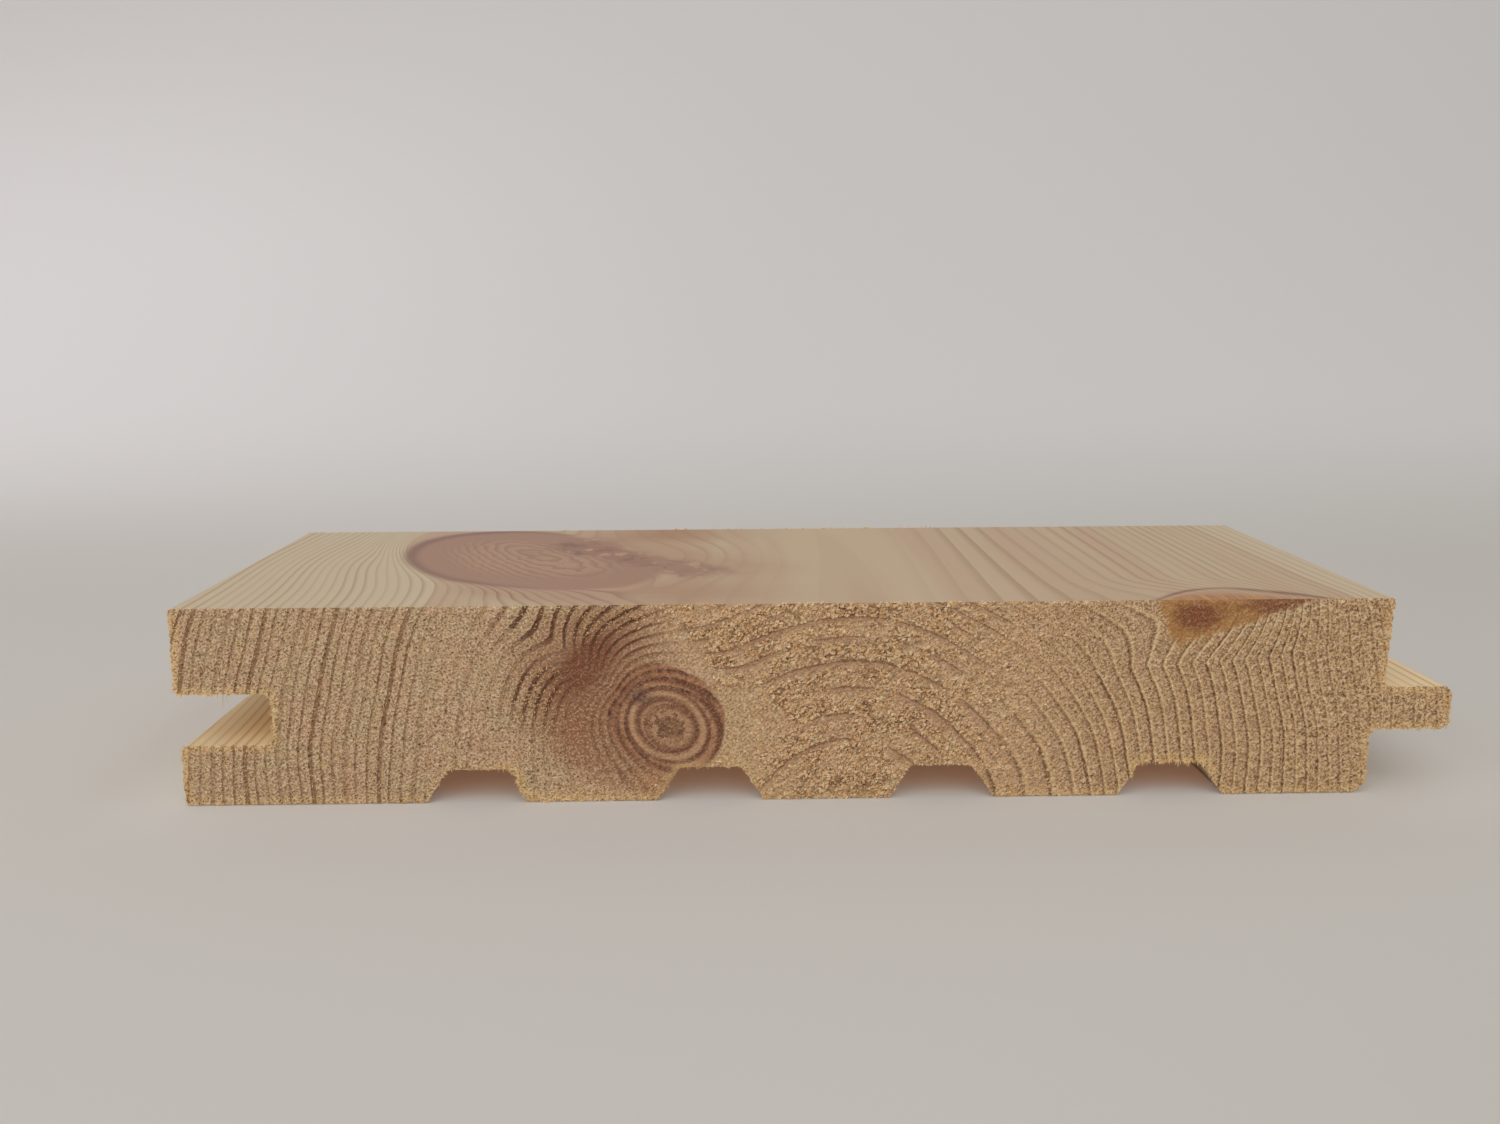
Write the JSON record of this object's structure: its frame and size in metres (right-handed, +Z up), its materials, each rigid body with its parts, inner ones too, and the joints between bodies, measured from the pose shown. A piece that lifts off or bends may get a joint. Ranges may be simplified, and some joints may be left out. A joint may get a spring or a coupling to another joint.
{
  "type": "solid wood floorboard",
  "caption": "Short length of solid pine floorboard with a tongue along its edge, a matching groove opposite, a flat walking face and relief channels underneath.",
  "frame": {"origin": "middle of the underside, on the plane that lies on the joists", "axes": "+X across the board from the groove edge to the tongue edge, +Y along the grain, +Z up to the walking face"},
  "size_m": [0.14, 0.054, 0.022],
  "materials": {
    "pine": "bare pine, planed along its faces and rough from the saw at its ends"
  },
  "bodies": {
    "root": {"floorboard": "pine"}
  },
  "joints": []
}
